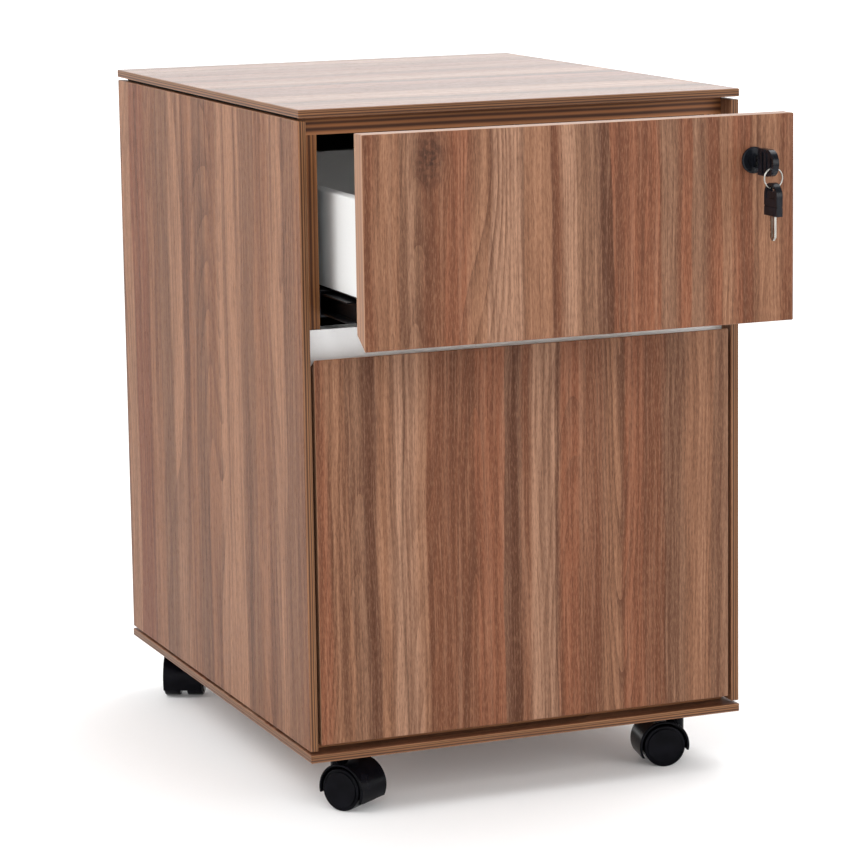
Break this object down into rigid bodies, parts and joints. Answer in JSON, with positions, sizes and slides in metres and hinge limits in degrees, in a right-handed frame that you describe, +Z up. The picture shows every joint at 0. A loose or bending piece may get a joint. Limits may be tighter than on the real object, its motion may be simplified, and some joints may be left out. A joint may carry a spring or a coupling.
{
  "type": "rolling pedestal cabinet",
  "caption": "Walnut-look pedestal cabinet on twin-wheel swivel casters, with a shallow upper drawer pulled part open, a deep file drawer, a finger groove and a keyed lock.",
  "frame": {"origin": "centre of the footprint on the floor, taken over the whole thing at rest: the cabinet with its upper drawer open 118 mm and the keys in the lock", "axes": "+Z up, +Y to the back, so the drawers open towards -Y, and +X to the right as seen from the front"},
  "size_m": [0.4, 0.662, 0.598],
  "materials": {
    "walnut_laminate": "satin wood-grain laminate with striped edge banding",
    "carcass_board": "matt charcoal faces with walnut edge banding at the front",
    "white_board": "smooth white melamine-faced board",
    "white_metal": "satin white powder coat",
    "zinc_steel": "bright zinc plating",
    "aluminium": "mill finish",
    "nickel": "polished nickel plating",
    "black_plastic": "satin moulded black plastic",
    "caster_nylon": "semi-gloss black nylon"
  },
  "bodies": {
    "cabinet": {"top_panel": "walnut_laminate", "base_panel": "walnut_laminate", "left_side_panel": "walnut_laminate", "right_side_panel": "walnut_laminate", "carcass_top": "carcass_board", "carcass_bottom": "carcass_board", "left_liner": "carcass_board", "right_liner": "carcass_board", "back_panel": "carcass_board", "finger_rail": "white_metal", "cam_fittings": "zinc_steel", "caster_plates": "zinc_steel", "caster_screws": "zinc_steel", "top_runner_rails": "zinc_steel", "lower_runner_rails": "zinc_steel"},
    "lock_bar": {"lock_bar": "aluminium"},
    "top_drawer": {"top_drawer_front": "walnut_laminate", "top_drawer_box_front": "white_board", "top_drawer_left_side": "white_board", "top_drawer_right_side": "white_board", "top_drawer_back": "white_board", "top_drawer_bottom": "white_board", "top_drawer_screws": "zinc_steel", "top_drawer_runners": "zinc_steel", "lock_housing": "black_plastic"},
    "top_sliders": {"top_runner_sliders": "zinc_steel"},
    "lower_drawer": {"lower_drawer_front": "walnut_laminate", "lower_drawer_box_front": "white_board", "lower_drawer_left_side": "white_board", "lower_drawer_right_side": "white_board", "lower_drawer_back": "white_board", "lower_drawer_bottom": "white_board", "lower_drawer_screws": "zinc_steel", "lower_drawer_runners": "zinc_steel", "file_rails": "aluminium"},
    "lower_sliders": {"lower_runner_sliders": "zinc_steel"},
    "lock_plug": {"lock_plug": "black_plastic", "lock_cam": "zinc_steel"},
    "key": {"key_base": "black_plastic", "key_blade": "nickel"},
    "key_head": {"key_head": "black_plastic"},
    "key_ring": {"key_ring": "nickel"},
    "spare_key": {"spare_key_head": "black_plastic", "spare_key_blade": "nickel"},
    "front_left_caster": {"front_left_caster_hood": "caster_nylon", "front_left_caster_axle": "zinc_steel"},
    "front_left_left_wheel": {"front_left_caster_left_wheel": "caster_nylon"},
    "front_left_right_wheel": {"front_left_caster_right_wheel": "caster_nylon"},
    "front_right_caster": {"front_right_caster_hood": "caster_nylon", "front_right_caster_axle": "zinc_steel"},
    "front_right_left_wheel": {"front_right_caster_left_wheel": "caster_nylon"},
    "front_right_right_wheel": {"front_right_caster_right_wheel": "caster_nylon"},
    "back_left_caster": {"back_left_caster_hood": "caster_nylon", "back_left_caster_axle": "zinc_steel"},
    "back_left_left_wheel": {"back_left_caster_left_wheel": "caster_nylon"},
    "back_left_right_wheel": {"back_left_caster_right_wheel": "caster_nylon"},
    "back_right_caster": {"back_right_caster_hood": "caster_nylon", "back_right_caster_axle": "zinc_steel"},
    "back_right_left_wheel": {"back_right_caster_left_wheel": "caster_nylon"},
    "back_right_right_wheel": {"back_right_caster_right_wheel": "caster_nylon"}
  },
  "joints": [
    {"name": "top_drawer_slide", "type": "slide", "parent": "cabinet", "child": "top_drawer", "axis": [0, -1, 0], "range_m": [-0.118, 0.3]},
    {"name": "top_slider_slide", "type": "slide", "parent": "cabinet", "child": "top_sliders", "axis": [0, -1, 0], "range_m": [-0.059, 0.15]},
    {"name": "lower_drawer_slide", "type": "slide", "parent": "cabinet", "child": "lower_drawer", "axis": [0, -1, 0], "range_m": [0, 0.418]},
    {"name": "lower_slider_slide", "type": "slide", "parent": "cabinet", "child": "lower_sliders", "axis": [0, -1, 0], "range_m": [0, 0.209]},
    {"name": "lock_bar_lift", "type": "slide", "parent": "cabinet", "child": "lock_bar", "axis": [0, 0, 1], "range_m": [0, 0.008]},
    {"name": "lock_turn", "type": "hinge", "parent": "top_drawer", "child": "lock_plug", "pos_m": [0.153, -0.2855, 0.5495], "axis": [0, -1, 0], "range_deg": [0, 90]},
    {"name": "key_pull", "type": "slide", "parent": "lock_plug", "child": "key", "axis": [0, -1, 0], "range_m": [0, 0.017]},
    {"name": "key_fold", "type": "hinge", "parent": "key", "child": "key_head", "pos_m": [0.153, -0.30825, 0.5495], "axis": [0, 0, 1], "range_deg": [-90, 90]},
    {"name": "ring_swing", "type": "hinge", "parent": "key_head", "child": "key_ring", "pos_m": [0.153, -0.32, 0.54592], "axis": [1, 0, 0], "range_deg": [-40, 15]},
    {"name": "spare_key_swing", "type": "hinge", "parent": "key_ring", "child": "spare_key", "pos_m": [0.153, -0.32, 0.52953], "axis": [1, 0, 0], "range_deg": [-40, 10]},
    {"name": "front_left_swivel", "type": "hinge", "parent": "cabinet", "child": "front_left_caster", "pos_m": [-0.159, -0.1245, 0.045], "axis": [0, 0, 1], "continuous": true},
    {"name": "front_left_left_wheel_spin", "type": "hinge", "parent": "front_left_caster", "child": "front_left_left_wheel", "pos_m": [-0.15117, -0.13611, 0.0185], "axis": [-0.829, -0.5592, 0], "continuous": true},
    {"name": "front_left_right_wheel_spin", "type": "hinge", "parent": "front_left_caster", "child": "front_left_right_wheel", "pos_m": [-0.15117, -0.13611, 0.0185], "axis": [-0.829, -0.5592, 0], "continuous": true},
    {"name": "front_right_swivel", "type": "hinge", "parent": "cabinet", "child": "front_right_caster", "pos_m": [0.159, -0.1245, 0.045], "axis": [0, 0, 1], "continuous": true},
    {"name": "front_right_left_wheel_spin", "type": "hinge", "parent": "front_right_caster", "child": "front_right_left_wheel", "pos_m": [0.14528, -0.12171, 0.0185], "axis": [0.1994, 0.9799, 0], "continuous": true},
    {"name": "front_right_right_wheel_spin", "type": "hinge", "parent": "front_right_caster", "child": "front_right_right_wheel", "pos_m": [0.14528, -0.12171, 0.0185], "axis": [0.1994, 0.9799, 0], "continuous": true},
    {"name": "back_left_swivel", "type": "hinge", "parent": "cabinet", "child": "back_left_caster", "pos_m": [-0.159, 0.294, 0.045], "axis": [0, 0, 1], "continuous": true},
    {"name": "back_left_left_wheel_spin", "type": "hinge", "parent": "back_left_caster", "child": "back_left_left_wheel", "pos_m": [-0.16492, 0.28131, 0.0185], "axis": [-0.9063, 0.4226, 0], "continuous": true},
    {"name": "back_left_right_wheel_spin", "type": "hinge", "parent": "back_left_caster", "child": "back_left_right_wheel", "pos_m": [-0.16492, 0.28131, 0.0185], "axis": [-0.9063, 0.4226, 0], "continuous": true},
    {"name": "back_right_swivel", "type": "hinge", "parent": "cabinet", "child": "back_right_caster", "pos_m": [0.159, 0.294, 0.045], "axis": [0, 0, 1], "continuous": true},
    {"name": "back_right_left_wheel_spin", "type": "hinge", "parent": "back_right_caster", "child": "back_right_left_wheel", "pos_m": [0.15538, 0.28048, 0.0185], "axis": [-0.9659, 0.2588, 0], "continuous": true},
    {"name": "back_right_right_wheel_spin", "type": "hinge", "parent": "back_right_caster", "child": "back_right_right_wheel", "pos_m": [0.15538, 0.28048, 0.0185], "axis": [-0.9659, 0.2588, 0], "continuous": true}
  ],
  "couplings": [
    {"joint": "top_slider_slide", "follows": "top_drawer_slide", "ratio": 0.5},
    {"joint": "lower_slider_slide", "follows": "lower_drawer_slide", "ratio": 0.5}
  ]
}
